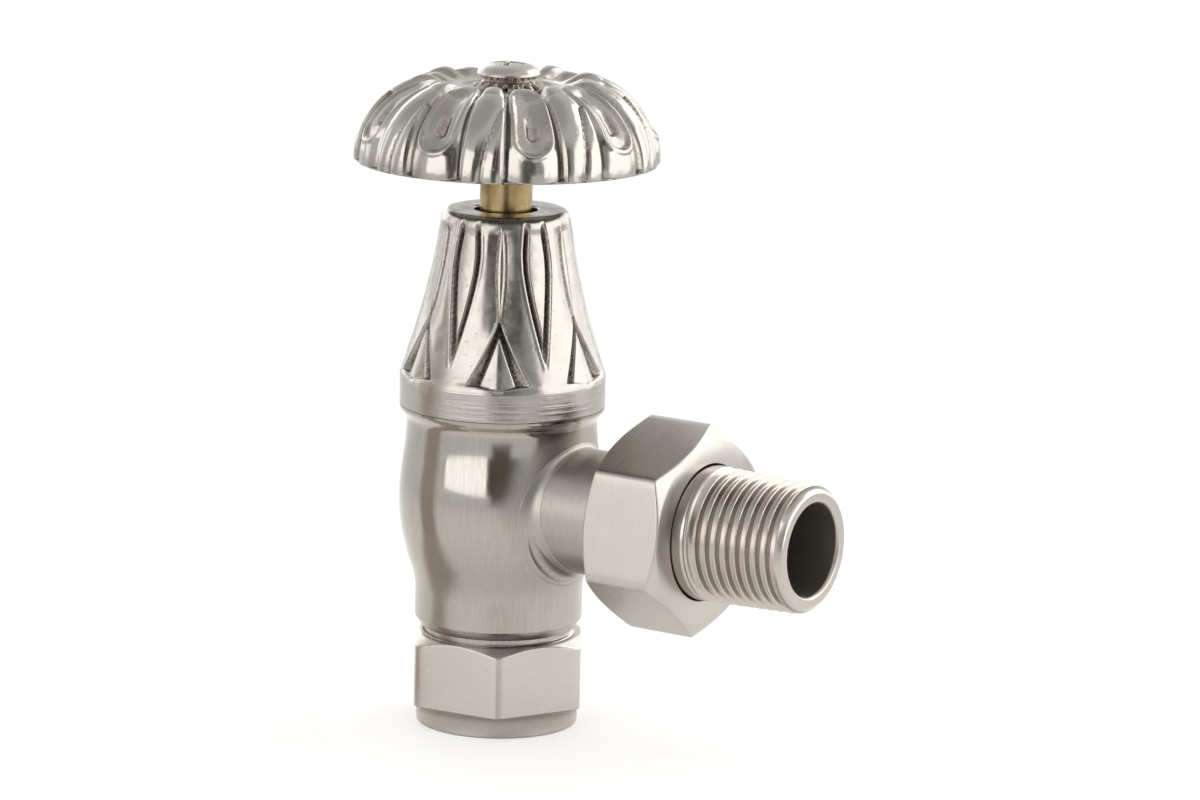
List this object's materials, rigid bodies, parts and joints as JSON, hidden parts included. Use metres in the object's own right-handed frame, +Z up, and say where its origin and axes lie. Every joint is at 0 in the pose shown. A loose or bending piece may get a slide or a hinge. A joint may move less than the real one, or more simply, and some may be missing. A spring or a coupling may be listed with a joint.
{
  "type": "radiator valve",
  "caption": "Angled handwheel radiator valve with rising spindle, leaf-cast shroud, union tail for a radiator and a compression coupling for a pipe.",
  "frame": {"origin": "middle of the pipe inlet's mouth, at the lower face of the compression nut", "axes": "+Z up along the spindle, +X along the radiator tail away from the body"},
  "size_m": [0.0844, 0.0492, 0.1082],
  "materials": {
    "satin_nickel_body": "forged brass, nickel plated and softly polished",
    "satin_nickel_nut": "turned brass hexagon, nickel plated, brushed along the flats",
    "satin_nickel_tail": "turned brass, nickel plated",
    "polished_nickel_shroud": "cast, polished and nickel plated, with a brushed band",
    "polished_nickel_wheel": "die-cast, polished and nickel plated",
    "plated_screw": "nickel plated steel",
    "spindle_brass": "turned brass, dull",
    "turned_brass": "turned brass",
    "olive_brass": "soft brass, turned",
    "spring_steel": "hardened steel, oiled",
    "seal_rubber": "EPDM rubber, matte",
    "packing_ptfe": "PTFE packing"
  },
  "bodies": {
    "valve": {"valve_body": "satin_nickel_body", "headwork": "turned_brass", "headwork_seal": "seal_rubber", "gland_packing": "packing_ptfe", "spindle_o_rings": "seal_rubber", "gland_ring": "turned_brass", "gland_nut": "turned_brass", "shroud": "polished_nickel_shroud"},
    "washer_lift": {"jumper": "turned_brass", "snap_ring": "spring_steel", "valve_washer": "seal_rubber", "washer_plate": "turned_brass", "washer_screw": "turned_brass"},
    "wheel_and_spindle": {"spindle": "spindle_brass", "handwheel": "polished_nickel_wheel", "lock_washer": "spring_steel", "wheel_screw": "plated_screw"},
    "tail": {"radiator_tail": "satin_nickel_tail", "tail_o_ring": "seal_rubber"},
    "union_ring": {"union_nut": "satin_nickel_nut"},
    "pipe_olive": {"olive": "olive_brass"},
    "pipe_nut": {"compression_nut": "satin_nickel_nut"}
  },
  "joints": [
    {"name": "washer_rise", "type": "slide", "parent": "valve", "child": "washer_lift", "axis": [0, 0, 1], "range_m": [-0.005, 0]},
    {"name": "wheel_turn", "type": "hinge", "parent": "washer_lift", "child": "wheel_and_spindle", "pos_m": [0, 0, 0.06], "axis": [0, 0, 1], "range_deg": [-900, 0]},
    {"name": "tail_draw", "type": "slide", "parent": "valve", "child": "tail", "axis": [1, 0, 0], "range_m": [0, 0.0086]},
    {"name": "union_turn", "type": "hinge", "parent": "tail", "child": "union_ring", "pos_m": [0.0333, 0, 0.0372], "axis": [1, 0, 0], "range_deg": [0, 1707]},
    {"name": "olive_drop", "type": "slide", "parent": "valve", "child": "pipe_olive", "axis": [0, 0, -1], "range_m": [0, 0.0072]},
    {"name": "pipe_nut_turn", "type": "hinge", "parent": "pipe_olive", "child": "pipe_nut", "pos_m": [0, 0, 0.0075], "axis": [0, 0, -1], "range_deg": [0, 1728]}
  ],
  "couplings": [
    {"joint": "wheel_turn", "follows": "washer_rise", "rad_per_m": 3141.5},
    {"joint": "union_turn", "follows": "tail_draw", "rad_per_m": 3463.7},
    {"joint": "pipe_nut_turn", "follows": "olive_drop", "rad_per_m": 4188.7}
  ]
}
